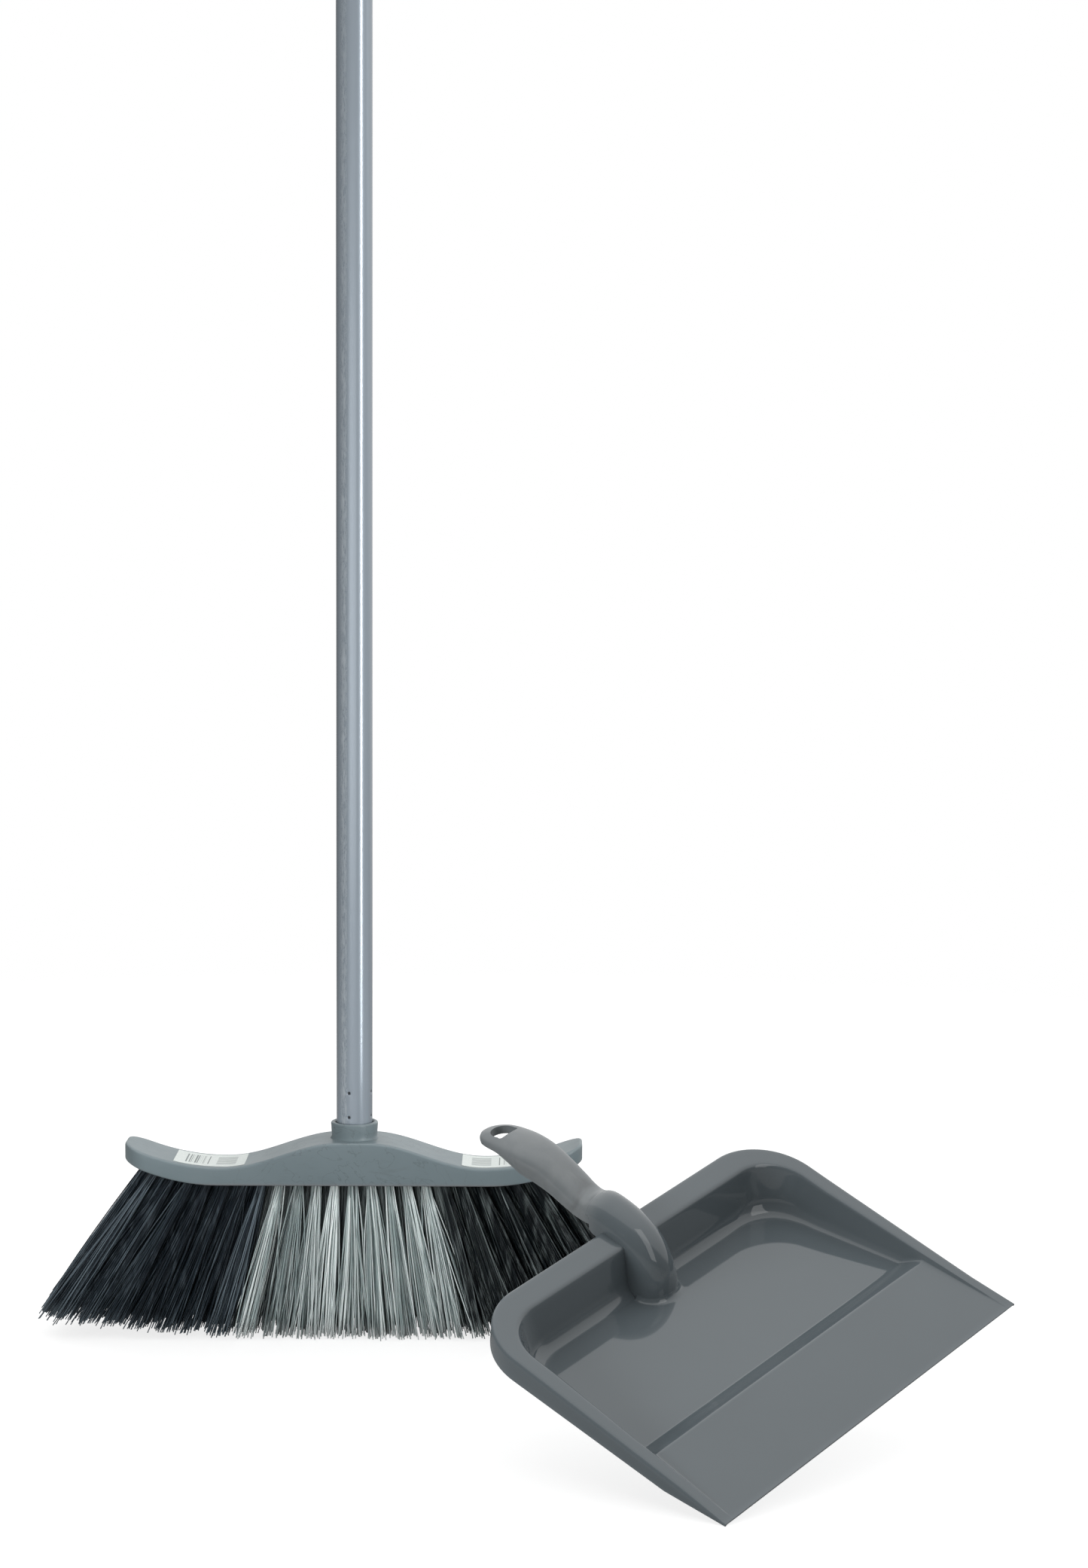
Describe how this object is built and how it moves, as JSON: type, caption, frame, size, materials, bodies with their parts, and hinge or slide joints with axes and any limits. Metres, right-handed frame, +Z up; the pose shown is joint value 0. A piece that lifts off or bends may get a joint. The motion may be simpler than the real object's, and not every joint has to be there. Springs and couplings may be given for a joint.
{
  "type": "dustpan and brush",
  "caption": "Upright broom with a waved block, fanned two-tone bristles and a screw-in steel pole, with a one-piece hand dustpan with a hollow grip.",
  "frame": {"origin": "on the floor under the pole axis, at the flat end of the middle bristle tuft", "axes": "+Z up along the pole, +X along the broom head, -Y towards the dustpan side"},
  "size_m": [0.5663, 0.4179, 1.349],
  "materials": {
    "head_plastic": "satin grey moulded polypropylene with faint flow marks",
    "black_bristle": "blue-black polymer filament with a soft sheen",
    "silver_bristle": "silver-grey polymer filament with a soft sheen",
    "anchor_wire": "flat steel wire",
    "label_paper": null,
    "pole_paint": "silver-grey paint on steel tube, satin with light wear",
    "fitting_plastic": "dark grey moulded plastic",
    "pan_plastic": "grey moulded polypropylene, satin outside and glossy in the basin"
  },
  "bodies": {
    "broom_head": {"head_block": "head_plastic", "bristles_black_left_row_1": "black_bristle", "bristles_black_left_row_2": "black_bristle", "bristles_black_left_row_3": "black_bristle", "bristles_black_left_row_4": "black_bristle", "bristles_black_left_row_5": "black_bristle", "bristles_silver_row_1": "silver_bristle", "bristles_silver_row_2": "silver_bristle", "bristles_silver_row_3": "silver_bristle", "bristles_silver_row_4": "silver_bristle", "bristles_silver_row_5": "silver_bristle", "bristles_black_right_row_1": "black_bristle", "bristles_black_right_row_2": "black_bristle", "bristles_black_right_row_3": "black_bristle", "bristles_black_right_row_4": "black_bristle", "bristles_black_right_row_5": "black_bristle", "tuft_anchors_row_1": "anchor_wire", "tuft_anchors_row_2": "anchor_wire", "tuft_anchors_row_3": "anchor_wire", "tuft_anchors_row_4": "anchor_wire", "tuft_anchors_row_5": "anchor_wire", "label_left": "label_paper", "label_right": "label_paper"},
    "pole": {"pole_tube": "pole_paint", "pole_thread_plug": "fitting_plastic", "pole_hanging_cap": "fitting_plastic"},
    "pan": {"dustpan": "pan_plastic"}
  },
  "joints": [
    {"name": "pole_unscrew", "type": "hinge", "parent": "broom_head", "child": "pole", "pos_m": [0, 0, 0.12], "axis": [0, 0, 1], "range_deg": [0, 1170]},
    {"name": "dustpan_lift", "type": "hinge", "parent": "broom_head", "child": "pan", "pos_m": [0.206, -0.384, 0], "axis": [1, 0, 0], "range_deg": [-22, 40]}
  ]
}
